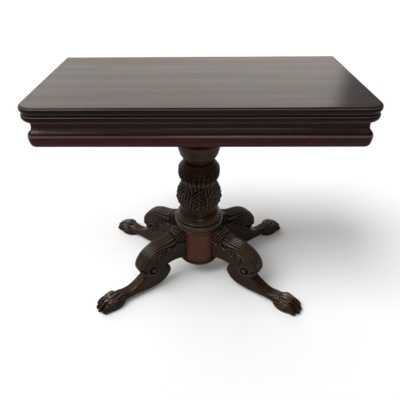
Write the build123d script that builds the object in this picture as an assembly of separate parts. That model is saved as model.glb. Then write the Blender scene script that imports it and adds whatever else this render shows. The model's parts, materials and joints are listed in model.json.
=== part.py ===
from build123d import *
import os
from math import asin, cos, radians, sin, sqrt

# Card table: two hinged leaves turn on a moulded frame over a carved
# pedestal with four paw-footed legs.  Millimetres, +Z up, front towards -Y.
# The origin is on the floor under the middle of the table.

# Overall sizes
top_length = 914.0
leaf_depth = 458.0
table_height = 764.0
leaf_thickness = 20.5
frame_height = 71.0

# Clearances and cutting
running_clearance = 0.05
glue_clearance = 0.1
swing_clearance = 0.3
overrun = 2.0

# Leaves
leaf_corner_radius = 50.0
leaf_edge_radius = 10.0
hinge_edge_radius = 5.0

# Leaf hinges: plates let into the back edges, with a link on two pins
hinge_end_distance = 75.0
hinge_plate_length = 60.0
hinge_plate_height = 15.0
hinge_plate_thickness = 3.0
knuckle_length = 26.0
knuckle_side = 10.5
pin_depth = 4.0
open_leaf_gap = 0.2
pin_radius = 1.6
pin_length = 24.0
link_width = 8.0
link_end_radius = 3.5
hinge_screw_spacing = 44.0
hinge_screw_drop = 9.0
hinge_screw_length = 14.0
hinge_screw_radius = 1.5
hinge_screw_head_radius = 3.0

# Screws in general
screw_head_sink = 0.2
screw_slot_width = 0.8
screw_slot_depth = 0.7
wood_screw_radius = 2.4
wood_screw_head_radius = 4.8

# Frame rails, with an ogee face
bulge_inset = 9.0
rail_depth = 40.0
ogee_depth = 15.0
bulge_height = 26.0
cove_height = 58.0
swell_radius_share = 0.55
lower_arc_radius = 80.0
under_arc_radius = 14.0
frame_corner_radius = 20.0
top_fillet_height = 4.0
top_fillet_depth = 3.0
back_inset = 11.0
back_rail_thickness = 24.0
glue_block_leg = 34.0
glue_block_height = 42.0
glue_block_rise = 14.0

# Pivot: plate and bolt under the lower leaf, through a cross rail
pivot_rail_width = 100.0
pivot_rail_thickness = 22.0
rail_housing_depth = 10.0
pivot_plate_radius = 36.0
pivot_plate_thickness = 4.0
pivot_bolt_radius = 7.0
pivot_screw_circle = 25.0
pivot_screw_count = 4
pivot_screw_length = 12.0
pivot_screw_radius = 2.0
pivot_screw_head_radius = 4.0
washer_radius = 17.0
washer_thickness = 2.5
nut_across_flats = 22.0
nut_thickness = 10.0
bolt_end_length = 4.0
peg_radius = 6.0
peg_drop = 12.0
peg_socket_depth = 10.0

# Bearer board and well floor
bearer_width = 200.0
bearer_thickness = 32.0
bearer_lap = 12.0
bearer_screw_spacing = 150.0
bearer_screw_inset = 7.0
bearer_screw_length = 44.0
cleat_side = 12.0
floor_thickness = 8.0

# Column: abacus, cap, neck ring, carved shaft and base round one tenon
column_tenon_radius = 24.0
tenon_socket_depth = 110.0
cap_radius = 71.0
cap_abacus_radius = 86.0
cap_abacus_height = 12.0
neck_ring_radius = 72.0
shaft_radius = 77.0
base_radius = 89.5
cap_bottom_height = 498.0
neck_ring_bottom_height = 441.0
shaft_bottom_height = 326.0

# Hub between the legs
drum_bottom_height = 88.0
drum_top_height = 236.0
drum_radius = 76.5
panel_thickness = 2.5
panel_margin = 2.0
panel_side_gap = 1.0
panel_groove_width = 1.6
panel_groove_depth = 1.0
panel_border = 6.0
disc_radius = 80.0
disc_thickness = 18.0
disc_edge_radius = 8.0
disc_screw_circle = 55.0
disc_screw_count = 4
disc_screw_length = 34.0

# Legs: outline in reach and rise, then the rounded paw
leg_angle = 33.8
leg_reach = 447.0
leg_rise = 236.0
leg_thickness = 50.0
leg_root_depth = 10.0
thigh_round = 12.0
shank_thickness = 44.0
shank_round = 10.0
scroll_radius = 19.0
scroll_stand = 3.0
tenon_width = 20.0
tenon_root_width = 28.0
tenon_depth = 24.0
tenon_rise = 108.0
tenon_foot_height = 104.0
paw_length = 100.0
paw_width = 70.0
paw_height = 54.0
pad_setback = 62.0
pad_centre_height = 16.0
toe_count = 4
toe_length = 74.0
toe_width = 24.0
toe_height = 33.0
toe_centre_height = 24.0
toe_slope = 22.0
toe_spread = 5.0
toe_gap = 14.5
outer_toe_setback = 11.0

# Places that follow from the sizes above
playing_level = table_height - leaf_thickness
frame_top = playing_level - leaf_thickness
frame_bottom = frame_top - frame_height
front_face = leaf_depth / 2 - bulge_inset
inner_front = front_face - rail_depth
inner_side = top_length / 2 - bulge_inset - rail_depth
back_face = leaf_depth / 2 - back_inset
inner_back = back_face - back_rail_thickness
pivot_place = leaf_depth / 4
pin_setback = pin_depth - open_leaf_gap / 2
peg_x = peg_radius + swing_clearance - inner_front
peg_y = inner_back - peg_radius - swing_clearance
hinge_x = top_length / 2 - hinge_end_distance
bearer_top = frame_bottom + bearer_thickness
pivot_rail_bottom = frame_top - pivot_rail_thickness
disc_bottom_height = drum_bottom_height - disc_thickness
leg_root = drum_radius - leg_root_depth
pad_reach = leg_reach - pad_setback

# Outlines, chosen by hand as shares of the sizes named beside them.
# Column pieces: share of the piece's largest radius, share of its height.
cap_outline_shares = [(0.66, 0.0), (0.79, 0.095), (0.915, 0.195), (0.965, 0.29), (1.0, 0.38), (0.97, 0.44)]
cap_neck_shares = [(0.88, 0.465), (0.74, 0.53), (0.7, 0.62)]
abacus_neck_shares = [(0.7, 0.62), (0.76, 0.74), (0.93, 0.85), (1.13, 0.905)]
neck_ring_shares = [(0.94, 0.0), (1.0, 0.2), (0.99, 0.42), (0.95, 0.6), (0.85, 0.79), (0.66, 1.0)]
shaft_outline_shares = [
    (0.88, 0.0), (0.955, 0.07), (1.0, 0.22), (0.985, 0.38), (0.93, 0.55),
    (0.84, 0.67), (0.78, 0.79), (0.785, 0.88), (0.87, 1.0),
]
base_foot_shares = [(0.945, 0.0), (0.955, 0.03), (0.945, 0.06)]
base_gap_shares = [(0.89, 0.065), (0.89, 0.105)]
base_ring_shares = [(0.94, 0.11), (0.99, 0.145), (1.0, 0.2), (0.99, 0.27), (0.94, 0.335)]
base_bead_shares = [(0.9, 0.35), (0.925, 0.4), (0.9, 0.45)]
base_dome_shares = [(0.875, 0.47), (0.85, 0.58), (0.77, 0.7), (0.7, 0.81), (0.695, 0.88), (0.74, 1.0)]

# Leg outlines: share of the length from the leg's root to leg_reach, share of
# leg_rise.  The thigh runs from the hub over the knee, round the scroll and back
# along the arch.  The shank is a closed curve from its heel by the arch down to
# the ankle inside the paw.
thigh_shares = [
    (0.0, 0.992), (0.067, 0.987), (0.119, 0.966), (0.172, 0.924), (0.235, 0.894), (0.314, 0.877),
    (0.388, 0.835), (0.456, 0.763), (0.503, 0.669), (0.527, 0.568), (0.52, 0.458), (0.482, 0.364),
    (0.424, 0.322), (0.359, 0.347), (0.299, 0.394), (0.246, 0.428), (0.193, 0.445), (0.135, 0.449),
    (0.08, 0.432), (0.0, 0.394),
]
shank_shares = [
    (0.225, 0.403), (0.199, 0.339), (0.195, 0.271), (0.22, 0.191), (0.267, 0.119), (0.337, 0.072),
    (0.43, 0.055), (0.535, 0.059), (0.641, 0.066), (0.736, 0.053), (0.806, 0.044), (0.845, 0.066),
    (0.859, 0.118), (0.845, 0.17), (0.806, 0.192), (0.745, 0.194), (0.679, 0.187), (0.614, 0.216),
    (0.548, 0.284), (0.482, 0.369), (0.416, 0.453), (0.346, 0.5), (0.278, 0.475),
]
scroll_centre_share = (0.401, 0.47)


def bar(x0, x1, y0, y1, z0, z1):
    """A block between two corners."""
    corner = (Align.MIN, Align.MIN, Align.MIN)
    return Pos(x0, y0, z0) * Box(x1 - x0, y1 - y0, z1 - z0, align=corner)


def upright(radius, z0, z1, x=0, y=0):
    """A round bar along Z between two heights."""
    standing = (Align.CENTER, Align.CENTER, Align.MIN)
    return Pos(x, y, z0) * Cylinder(radius, z1 - z0, align=standing)


def countersunk_screw(length, radius, head_radius, grow=0):
    """A screw pointing down, sunk below z = 0; grow widens it into its own hole."""
    head_depth = head_radius - radius
    top = -screw_head_sink
    shank = upright(radius + grow, top - length - grow, top)
    head = Pos(0, 0, top - head_depth / 2) * Cone(radius + grow, head_radius + grow, head_depth)
    if grow:
        return shank + head + upright(head_radius + grow, top, overrun)
    half = screw_slot_width / 2
    slot = bar(-head_radius, head_radius, -half, half, top - screw_slot_depth, overrun)
    return shank + head - slot


def turned(segments):
    """Revolve curves of (radius, height) points, joined by lines, to a solid."""
    edges = []
    for points in segments:
        curve = Line(*points) if len(points) == 2 else Spline(*points)
        edges.append(curve)
    joined = []
    for number, curve in enumerate(edges):
        following = edges[(number + 1) % len(edges)]
        joined.append(curve)
        if (curve @ 1 - following @ 0).length > running_clearance:
            joined.append(Line(curve @ 1, following @ 0))
    return revolve(Plane.XZ * make_face(joined), Axis.Z)


def scaled(shares, across, low, high):
    """Shares of a radius and of a height range as points."""
    return [(share_r * across, low + share_z * (high - low)) for share_r, share_z in shares]


# Leaves and their hinges

def edge_rounding_tool(y_edge):
    """What is cut off the playing-face edge of a leaf along the hinge."""
    radius = hinge_edge_radius
    length = top_length + 2 * overrun
    block = bar(-length / 2, length / 2, y_edge - radius, y_edge + overrun, -radius, overrun)
    core = Pos(0, y_edge - radius, -radius) * Rot(0, 90, 0) * Cylinder(radius, length)
    return block - core


def at_hinges(shape):
    """One copy of a shape at each end of the hinge line."""
    return [Pos(side * hinge_x, 0, 0) * shape for side in (-1, 1)]


def hinge_plate(grow=0):
    """Plate with its knuckle block, let into a back edge below the playing face."""
    back = leaf_depth / 2
    plate_half = hinge_plate_length / 2 + grow
    knuckle_half = knuckle_length / 2 + grow
    plate = bar(-plate_half, plate_half, back - hinge_plate_thickness - grow, back,
                -hinge_plate_height - grow, 0)
    knuckle = bar(-knuckle_half, knuckle_half, back - knuckle_side - grow, back,
                  -knuckle_side - grow, 0)
    return plate + knuckle


def link_slot():
    """Room for the link in the knuckle, open above and behind."""
    back = leaf_depth / 2
    half = link_width / 2 + swing_clearance / 2
    reach = link_end_radius + swing_clearance
    return bar(-half, half, back - pin_setback - reach, back + overrun, -pin_depth - reach, overrun)


def hinge_pin(grow=0):
    """Pin across the knuckle, at the depth that lets the leaves roll open."""
    place = Pos(0, leaf_depth / 2 - pin_setback, -pin_depth)
    return place * Rot(0, 90, 0) * Cylinder(pin_radius + grow, pin_length + 2 * grow)


def hinge_screw_pair(grow=0):
    """Two screws driven forward through the plate from the back edge."""
    screw = countersunk_screw(hinge_screw_length, hinge_screw_radius, hinge_screw_head_radius, grow)
    lying = Rot(-90, 0, 0) * screw
    back = leaf_depth / 2
    return [Pos(side * hinge_screw_spacing / 2, back, -hinge_screw_drop) * lying for side in (-1, 1)]


def leaf_blank():
    """A leaf with its playing face up at z = 0, ready for its hinges."""
    outline = Rectangle(top_length, leaf_depth)
    front_corners = outline.vertices().sort_by(Axis.Y)[:2]
    outline = fillet(front_corners, leaf_corner_radius)
    slab = extrude(outline, -leaf_thickness)
    moulded = slab.edges().filter_by(Axis.Z, reverse=True).sort_by(Axis.Y)[:-2]
    slab = fillet(moulded, leaf_edge_radius)
    slab -= edge_rounding_tool(leaf_depth / 2)
    for pocket in at_hinges(hinge_plate(glue_clearance)):
        slab -= pocket
    for hole in hinge_screw_pair(running_clearance):
        for placed in at_hinges(hole):
            slab -= placed
    return slab


def hinge_hardware():
    """Plates, pins and screws of one leaf, below a playing face at z = 0."""
    plate = hinge_plate() - edge_rounding_tool(leaf_depth / 2) - link_slot()
    plate -= hinge_pin(running_clearance / 2)
    screws = hinge_screw_pair()
    for hole in hinge_screw_pair(running_clearance):
        plate -= hole
    plates = at_hinges(plate)
    pins = at_hinges(hinge_pin())
    placed_screws = [placed for screw in screws for placed in at_hinges(screw)]
    return plates, pins, placed_screws


def hinge_link():
    """The loose link of a hinge, upright between its two pins."""
    outline = Sketch() + [Pos(0, side * pin_depth) * Circle(link_end_radius) for side in (-1, 1)]
    outline += Rectangle(2 * link_end_radius, 2 * pin_depth)
    for side in (-1, 1):
        outline -= Pos(0, side * pin_depth) * Circle(pin_radius + running_clearance)
    across = Plane(origin=(link_width / 2, leaf_depth / 2 - pin_setback, 0),
                   x_dir=(0, 1, 0), z_dir=(1, 0, 0))
    return extrude(across * outline, -link_width)


# Pivot under the lower leaf

def pivot_screws(grow=0):
    """Screws driven up through the pivot plate into the lower leaf."""
    screw = countersunk_screw(pivot_screw_length, pivot_screw_radius, pivot_screw_head_radius, grow)
    upward = Rot(180, 0, 0) * screw
    placed = []
    for number in range(pivot_screw_count):
        turn = Rot(0, 0, 45 + number * 360 / pivot_screw_count)
        centre = Pos(pivot_place, pivot_place, frame_top)
        placed.append(centre * turn * Pos(pivot_screw_circle, 0, 0) * upward)
    return placed


def pivot_plate():
    """Round plate let in flush under the leaf, with its bolt pointing down."""
    plate = upright(pivot_plate_radius, frame_top, frame_top + pivot_plate_thickness,
                    pivot_place, pivot_place)
    bolt_end = pivot_rail_bottom - washer_thickness - nut_thickness - bolt_end_length
    plate += upright(pivot_bolt_radius, bolt_end, frame_top, pivot_place, pivot_place)
    for hole in pivot_screws(running_clearance):
        plate -= hole
    return plate


def pivot_nut():
    """Six-sided nut under the washer."""
    top = pivot_rail_bottom - washer_thickness
    circumradius = nut_across_flats / sqrt(3)
    outline = RegularPolygon(circumradius, 6) - Circle(pivot_bolt_radius + running_clearance)
    return Pos(pivot_place, pivot_place, top) * extrude(outline, -nut_thickness)


def pivot_washer():
    """Flat washer against the underside of the pivot rail."""
    low = pivot_rail_bottom - washer_thickness
    ring = upright(washer_radius, low, pivot_rail_bottom, pivot_place, pivot_place)
    return ring - upright(pivot_bolt_radius + running_clearance, low - overrun,
                          pivot_rail_bottom + overrun, pivot_place, pivot_place)


def stop_peg(grow=0):
    """Peg that meets the back rail when closed and the front rail when turned."""
    return upright(peg_radius + grow, frame_top - peg_drop, frame_top + peg_socket_depth + grow,
                   peg_x, peg_y)


# Frame

def ogee_face():
    """Section of a rail: x outwards from the inner face, y up from the bottom."""
    swell = rail_depth
    cove = swell - ogee_depth
    rise = cove_height - bulge_height
    radii_sum = (rise ** 2 + ogee_depth ** 2) / (2 * ogee_depth)
    swell_radius = swell_radius_share * radii_sum
    cove_radius = radii_sum - swell_radius
    lean = asin(rise / radii_sum)
    swell_x = swell - swell_radius
    cove_x = cove + cove_radius

    def on_swell(angle):
        return (swell_x + swell_radius * cos(angle), bulge_height + swell_radius * sin(angle))

    def on_cove(angle):
        return (cove_x - cove_radius * cos(angle), cove_height - cove_radius * sin(angle))

    under_x = swell - lower_arc_radius
    reach = lower_arc_radius - under_arc_radius
    dip = asin((bulge_height - under_arc_radius) / reach)
    turn_x = under_x + reach * cos(dip)
    join = (under_x + lower_arc_radius * cos(dip), bulge_height - lower_arc_radius * sin(dip))
    below = (under_x + lower_arc_radius * cos(dip / 2), bulge_height - lower_arc_radius * sin(dip / 2))
    half_turn = (radians(90) + dip) / 2
    corner = (turn_x + under_arc_radius * cos(half_turn),
              under_arc_radius - under_arc_radius * sin(half_turn))
    fillet_low = frame_height - top_fillet_height
    lip = cove + top_fillet_depth
    outline = [
        Line((0, 0), (turn_x, 0)),
        ThreePointArc((turn_x, 0), corner, join),
        ThreePointArc(join, below, (swell, bulge_height)),
        ThreePointArc((swell, bulge_height), on_swell(lean / 2), on_swell(lean)),
        ThreePointArc(on_cove(lean), on_cove(lean / 2), (cove, cove_height)),
        Polyline((cove, cove_height), (cove, fillet_low), (lip, fillet_low), (lip, frame_height),
                 (0, frame_height), (0, 0)),
    ]
    return make_face(outline)


def bearer(grow=0):
    """Board from front to back that carries the frame on the column."""
    half = bearer_width / 2 + grow
    return bar(-half, half, -inner_front - bearer_lap - grow, inner_back + bearer_lap + grow,
               frame_bottom - grow, bearer_top + grow)


def pivot_rail(grow=0):
    """Cross rail that holds the pivot bolt, housed in the front and back rails."""
    x0 = pivot_place - pivot_rail_width / 2 - grow
    x1 = pivot_place + pivot_rail_width / 2 + grow
    y0 = -inner_front - rail_housing_depth - grow
    y1 = inner_back + rail_housing_depth + grow
    return bar(x0, x1, y0, y1, pivot_rail_bottom - grow, frame_top)


def bearer_screws(grow=0):
    """Screws up through the lapped ends of the bearer into the long rails."""
    screw = countersunk_screw(bearer_screw_length, wood_screw_radius, wood_screw_head_radius, grow)
    upward = Rot(180, 0, 0) * screw
    placed = []
    for x in (-bearer_screw_spacing / 2, bearer_screw_spacing / 2):
        for y in (-inner_front - bearer_screw_inset, inner_back + bearer_screw_inset):
            placed.append(Pos(x, y, frame_bottom) * upward)
    return placed


def long_rail_cuts(rail):
    """Housings and screw holes in the front or back rail."""
    rail = rail - bearer(glue_clearance) - pivot_rail(glue_clearance)
    for hole in bearer_screws(running_clearance):
        rail -= hole
    return rail


def front_rail():
    section = Plane(origin=(inner_side, -inner_front, frame_bottom),
                    x_dir=(0, -1, 0), z_dir=(-1, 0, 0)) * ogee_face()
    return long_rail_cuts(extrude(section, 2 * inner_side))


def back_rail():
    return long_rail_cuts(bar(-inner_side, inner_side, inner_back, back_face,
                              frame_bottom, frame_top))


def left_rail():
    section = Plane(origin=(-inner_side, -inner_front, frame_bottom),
                    x_dir=(-1, 0, 0), z_dir=(0, 1, 0)) * ogee_face()
    return extrude(section, inner_front + back_face)


def right_corner_block():
    """Corner of the frame: both mouldings run on and meet round a small radius."""
    run = rail_depth - frame_corner_radius
    along_front = Plane(origin=(inner_side + run, -inner_front, frame_bottom),
                        x_dir=(0, -1, 0), z_dir=(-1, 0, 0)) * ogee_face()
    along_side = Plane(origin=(inner_side, -inner_front, frame_bottom),
                       x_dir=(1, 0, 0), z_dir=(0, -1, 0)) * ogee_face()
    inner_part = Rectangle(run, frame_height, align=(Align.MAX, Align.MIN))
    rim = Pos(-run, 0) * ogee_face() - inner_part
    quarter = revolve(Plane.XZ * rim, Axis.Z, 90)
    turn = Pos(inner_side + run, -inner_front - run, frame_bottom) * Rot(0, 0, -90) * quarter
    return extrude(along_front, run) + extrude(along_side, run) + turn


def glue_blocks():
    """Triangular blocks in the four inner corners of the frame."""
    z = frame_bottom + glue_block_rise
    leg = glue_block_leg
    blocks = []
    for side_x in (-1, 1):
        for corner_y, side_y in ((-inner_front, -1), (inner_back, 1)):
            corner_x = side_x * inner_side
            outline = Polyline((corner_x, corner_y), (corner_x - side_x * leg, corner_y),
                               (corner_x, corner_y - side_y * leg), close=True)
            blocks.append(Pos(0, 0, z) * extrude(make_face(outline), glue_block_height, dir=(0, 0, 1)))
    return blocks


def well_cleats():
    """Strips along the bottom of the rails that carry the well floors."""
    z0, z1 = frame_bottom, frame_bottom + cleat_side
    inner_end = bearer_width / 2 + glue_clearance
    strips = []
    for side in (-1, 1):
        x0, x1 = sorted((side * inner_side, side * inner_end))
        strips.append(bar(x0, x1, -inner_front, -inner_front + cleat_side, z0, z1))
        strips.append(bar(x0, x1, inner_back - cleat_side, inner_back, z0, z1))
        end0, end1 = sorted((side * inner_side, side * (inner_side - cleat_side)))
        strips.append(bar(end0, end1, -inner_front + cleat_side, inner_back - cleat_side, z0, z1))
    return strips


def well_floor(side):
    """Thin board on the cleats, from the side rail to the bearer."""
    x0, x1 = sorted((side * inner_side, side * (bearer_width / 2 + glue_clearance)))
    z0 = frame_bottom + cleat_side
    board = bar(x0, x1, -inner_front, inner_back, z0, z0 + floor_thickness)
    for block in glue_blocks():
        board -= block
    return board


# Column

def tenon_hole(low, high):
    return upright(column_tenon_radius + running_clearance, low - overrun, high + overrun)


def column_cap():
    """Cup with the lower half of the hollow neck above it."""
    low, high = cap_bottom_height, frame_bottom
    cup = scaled(cap_outline_shares, cap_radius, low, high)
    neck = scaled(cap_neck_shares, cap_radius, low, high)
    joint = neck[-1][1]
    return turned([cup, neck, [(0, joint), (0, low)]]) - tenon_hole(low, joint)


def column_abacus():
    """Upper half of the neck, spreading to the round abacus under the bearer."""
    low, high = cap_bottom_height, frame_bottom
    neck = scaled(abacus_neck_shares, cap_radius, low, high)
    joint = neck[0][1]
    rim = [(cap_abacus_radius, high - cap_abacus_height), (cap_abacus_radius, high)]
    return turned([neck, rim, [(0, high), (0, joint)]]) - tenon_hole(joint, high)


def neck_ring():
    """Smooth domed ring above the carving."""
    low, high = neck_ring_bottom_height, cap_bottom_height
    dome = scaled(neck_ring_shares, neck_ring_radius, low, high)
    return turned([dome, [(0, high), (0, low)]]) - tenon_hole(low, high)


def column_tenon():
    """Long round tenon from the drum to the bearer, through the column's pieces."""
    return upright(column_tenon_radius, drum_top_height - tenon_socket_depth, bearer_top)


def carved_shaft():
    """Carved vase of the column."""
    low, high = shaft_bottom_height, neck_ring_bottom_height
    vase = scaled(shaft_outline_shares, shaft_radius, low, high)
    return turned([vase, [(0, high), (0, low)]]) - tenon_hole(low, high)


def column_base():
    """Base: a thin foot, a shadow gap, a broad ring, a bead and a dome up to the shaft."""
    low, high = drum_top_height, shaft_bottom_height
    groups = (base_foot_shares, base_gap_shares, base_ring_shares, base_bead_shares,
              base_dome_shares)
    rings = [scaled(shares, base_radius, low, high) for shares in groups]
    return turned(rings + [[(0, high), (0, low)]]) - tenon_hole(low, high)


# Hub

def leg_directions():
    """Turn about Z of each leg, by name."""
    return {
        "front_right_leg": -leg_angle,
        "back_right_leg": leg_angle,
        "back_left_leg": 180 - leg_angle,
        "front_left_leg": 180 + leg_angle,
    }


def dovetail(grow, low, high):
    """Tenon of a leg along +X, wider at its root inside the drum."""
    mouth = tenon_width / 2 + grow
    root = tenon_root_width / 2 + grow
    inner = drum_radius - tenon_depth - grow
    outer = drum_radius + glue_clearance
    outline = Polyline((inner, -root), (outer, -mouth), (outer, mouth), (inner, root), close=True)
    return Pos(0, 0, low) * extrude(make_face(outline), high - low, dir=(0, 0, 1))


def hub_drum():
    """Turned drum with a dovetail slot for each leg and a socket for the column."""
    drum = upright(drum_radius, drum_bottom_height, drum_top_height)
    drum -= upright(column_tenon_radius + running_clearance, drum_top_height - tenon_socket_depth,
                    drum_top_height + overrun)
    slot_top = tenon_foot_height + tenon_rise + glue_clearance
    for turn in leg_directions().values():
        drum -= Rot(0, 0, turn) * dovetail(glue_clearance, drum_bottom_height - overrun, slot_top)
    for hole in disc_screws(running_clearance):
        drum -= hole
    return drum


def drum_panels():
    """Thin curved panels on the drum between the legs, each with a grooved border."""
    outer = drum_radius + panel_thickness
    low = drum_bottom_height + panel_margin
    high = drum_top_height - panel_margin
    shell = upright(outer, low, high) - upright(drum_radius, low - overrun, high + overrun)
    leg_half = leg_thickness / 2 + panel_side_gap
    far = outer + overrun
    for turn in leg_directions().values():
        shell -= Rot(0, 0, turn) * bar(0, far, -leg_half, leg_half, low - overrun, high + overrun)
    groove_floor = outer - panel_groove_depth
    for level in (low + panel_border, high - panel_border):
        ring = upright(far, level - panel_groove_width / 2, level + panel_groove_width / 2)
        shell -= ring - upright(groove_floor, low, high)
    return shell.solids()


def disc_screws(grow=0):
    """Screws up through the bottom disc into the drum."""
    screw = countersunk_screw(disc_screw_length, wood_screw_radius, wood_screw_head_radius, grow)
    upward = Rot(180, 0, 0) * screw
    placed = []
    for number in range(disc_screw_count):
        turn = Rot(0, 0, number * 360 / disc_screw_count)
        placed.append(turn * Pos(disc_screw_circle, 0, disc_bottom_height) * upward)
    return placed


def hub_disc():
    """Disc that closes the drum below the legs."""
    disc = upright(disc_radius, disc_bottom_height, drum_bottom_height)
    disc = fillet(disc.edges().sort_by(Axis.Z)[0], disc_edge_radius)
    for hole in disc_screws(running_clearance):
        disc -= hole
    return disc


# Legs

def leg_points(shares):
    length = leg_reach - leg_root
    return [(leg_root + share_r * length, share_z * leg_rise) for share_r, share_z in shares]


def rounded_slab(outline, thickness, radius, rounded_edges):
    """A slab in the XZ plane, centred on it, with both faces' edges rounded."""
    slab = extrude(Pos(0, 0, -thickness / 2) * outline, thickness)
    rims = slab.edges().filter_by(Axis.Z, reverse=True).sort_by(SortBy.LENGTH)[-rounded_edges:]
    return Rot(90, 0, 0) * fillet(rims, radius)


def leg_body():
    """Thigh with its knee, and the thinner shank that comes out from under it."""
    curve = leg_points(thigh_shares)
    thigh = make_face([Spline(*curve), Line(curve[-1], curve[0])])
    shank = make_face([Spline(*leg_points(shank_shares), periodic=True)])
    body = rounded_slab(thigh, leg_thickness, thigh_round, 2)
    return body + rounded_slab(shank, shank_thickness, shank_round, 2)


def ellipsoid(length, width, height):
    return scale(Sphere(1), by=(length / 2, width / 2, height / 2))


def paw():
    """Rounded paw with its toes, flat on the floor."""
    pad_height = 2 * (paw_height - pad_centre_height)
    foot = Pos(pad_reach, 0, pad_centre_height) * ellipsoid(paw_length, paw_width, pad_height)
    slope = radians(toe_slope)
    half_reach = sqrt((toe_length * cos(slope)) ** 2 + (toe_height * sin(slope)) ** 2) / 2
    middle = (toe_count - 1) / 2
    for number in range(toe_count):
        place = number - middle
        toe = Rot(0, toe_slope, place * toe_spread) * ellipsoid(toe_length, toe_width, toe_height)
        setback = half_reach + outer_toe_setback * (abs(place) / middle) ** 2
        foot += Pos(leg_reach - setback, place * toe_gap, toe_centre_height) * toe
    below = bar(-leg_reach, 2 * leg_reach, -paw_width, paw_width, -paw_height, 0)
    return foot - below


def leg():
    """One whole leg along +X with scroll bosses, paw and dovetail tenon."""
    body = leg_body() + paw()
    boss = Rot(90, 0, 0) * Cylinder(scroll_radius, leg_thickness + 2 * scroll_stand)
    scroll_reach, scroll_height = leg_points([scroll_centre_share])[0]
    body += Pos(scroll_reach, 0, scroll_height) * boss
    body -= upright(drum_radius + glue_clearance, 0, leg_rise)
    return body + dovetail(0, tenon_foot_height, tenon_foot_height + tenon_rise)


def save(name, solids):
    """Write one node, which may be a group of separate solids."""
    shape = solids if not isinstance(solids, (list, ShapeList)) else Compound(children=list(solids))
    shape.label = name
    export_step(shape, os.path.join("parts", name + ".step"))


def make_leaves():
    up = Pos(0, 0, playing_level)
    plates, pins, screws = hinge_hardware()
    lower = up * leaf_blank()
    lower -= upright(pivot_plate_radius + glue_clearance, frame_top - overrun,
                     frame_top + pivot_plate_thickness + glue_clearance, pivot_place, pivot_place)
    lower -= stop_peg(glue_clearance)
    for hole in pivot_screws(running_clearance):
        lower -= hole
    save("lower_leaf", lower)
    save("upper_leaf", up * mirror(leaf_blank(), Plane.XY))
    for name, group in (("hinge_plates", plates), ("hinge_pins", pins), ("hinge_screws", screws)):
        save("lower_" + name, [up * piece for piece in group])
        save("upper_" + name, [up * mirror(piece, Plane.XY) for piece in group])
    save("hinge_links", [up * piece for piece in at_hinges(hinge_link())])


def make_pivot():
    hole = upright(pivot_bolt_radius + running_clearance, pivot_rail_bottom - overrun,
                   frame_top + overrun, pivot_place, pivot_place)
    save("pivot_rail", pivot_rail() - hole)
    save("pivot_plate", pivot_plate())
    save("pivot_plate_screws", pivot_screws())
    save("pivot_washer", pivot_washer())
    save("pivot_nut", pivot_nut())
    save("stop_peg", stop_peg())


def make_frame():
    save("front_rail", front_rail())
    save("back_rail", back_rail())
    save("left_rail", left_rail())
    save("right_rail", mirror(left_rail(), Plane.YZ))
    save("right_corner_block", right_corner_block())
    save("left_corner_block", mirror(right_corner_block(), Plane.YZ))
    save("glue_blocks", glue_blocks())
    save("well_cleats", well_cleats())
    save("well_floor_left", well_floor(-1))
    save("well_floor_right", well_floor(1))
    board = bearer() - tenon_hole(frame_bottom, bearer_top)
    for hole in bearer_screws(running_clearance):
        board -= hole
    save("column_bearer", board)
    save("bearer_screws", bearer_screws())


def make_pedestal():
    save("column_cap", column_cap())
    save("column_abacus", column_abacus())
    save("column_tenon", column_tenon())
    save("neck_ring", neck_ring())
    save("carved_column", carved_shaft())
    save("column_base", column_base())
    save("hub_drum", hub_drum())
    save("drum_panels", drum_panels())
    save("hub_disc", hub_disc())
    save("disc_screws", disc_screws())
    one_leg = leg()
    for name, turn in leg_directions().items():
        save(name, Rot(0, 0, turn) * one_leg)


os.makedirs("parts", exist_ok=True)
make_leaves()
make_pivot()
make_frame()
make_pedestal()
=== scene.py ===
import json
from math import cos, pi, radians, sin, tau

import bmesh
import bpy
import numpy as np
from mathutils import Matrix, Vector


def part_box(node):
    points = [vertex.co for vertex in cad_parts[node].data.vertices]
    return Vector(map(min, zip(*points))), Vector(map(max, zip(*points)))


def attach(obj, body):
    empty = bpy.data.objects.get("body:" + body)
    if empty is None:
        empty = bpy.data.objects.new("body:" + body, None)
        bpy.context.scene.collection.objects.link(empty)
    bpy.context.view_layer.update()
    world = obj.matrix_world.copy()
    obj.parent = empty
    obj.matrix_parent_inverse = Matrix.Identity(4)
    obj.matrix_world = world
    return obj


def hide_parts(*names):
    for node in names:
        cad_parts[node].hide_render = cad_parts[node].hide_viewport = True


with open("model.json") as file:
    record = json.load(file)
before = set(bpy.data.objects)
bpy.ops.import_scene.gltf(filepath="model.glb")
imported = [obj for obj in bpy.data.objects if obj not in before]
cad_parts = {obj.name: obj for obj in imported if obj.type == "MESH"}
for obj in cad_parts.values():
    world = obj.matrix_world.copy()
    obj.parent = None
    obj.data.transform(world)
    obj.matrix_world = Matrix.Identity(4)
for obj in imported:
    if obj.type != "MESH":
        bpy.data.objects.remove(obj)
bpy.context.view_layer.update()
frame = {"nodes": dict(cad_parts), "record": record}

bl_info = {
    "name": "Card table",
    "version": (1, 0, 0),
    "blender": (4, 5, 0),
    "location": "3D View > Sidebar > Card Table",
    "description": "Carved and polished pieces of a fold-over card table around its CAD frame",
    "category": "Object",
}

MM = 0.001
MOUNTS = {mount["name"]: Vector(mount["pos_m"]) for mount in frame["record"]["mounts"]}
LEG_NAMES = ("front_right", "back_right", "back_left", "front_left")
LEG_TURNS = {name: np.arctan2(*MOUNTS["foot_rest_" + name].yx) for name in LEG_NAMES}


def low_of(node):
    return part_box(node)[0].z / MM


def high_of(node):
    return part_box(node)[1].z / MM


# Sizes and colours that a user would change


def length(name, text, default):
    return bpy.props.FloatProperty(name=name, description=text, default=default * MM, min=0.0,
                                   unit="LENGTH", subtype="DISTANCE", precision=4)


def number(name, text, default):
    return bpy.props.IntProperty(name=name, description=text, default=default, min=1)


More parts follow.
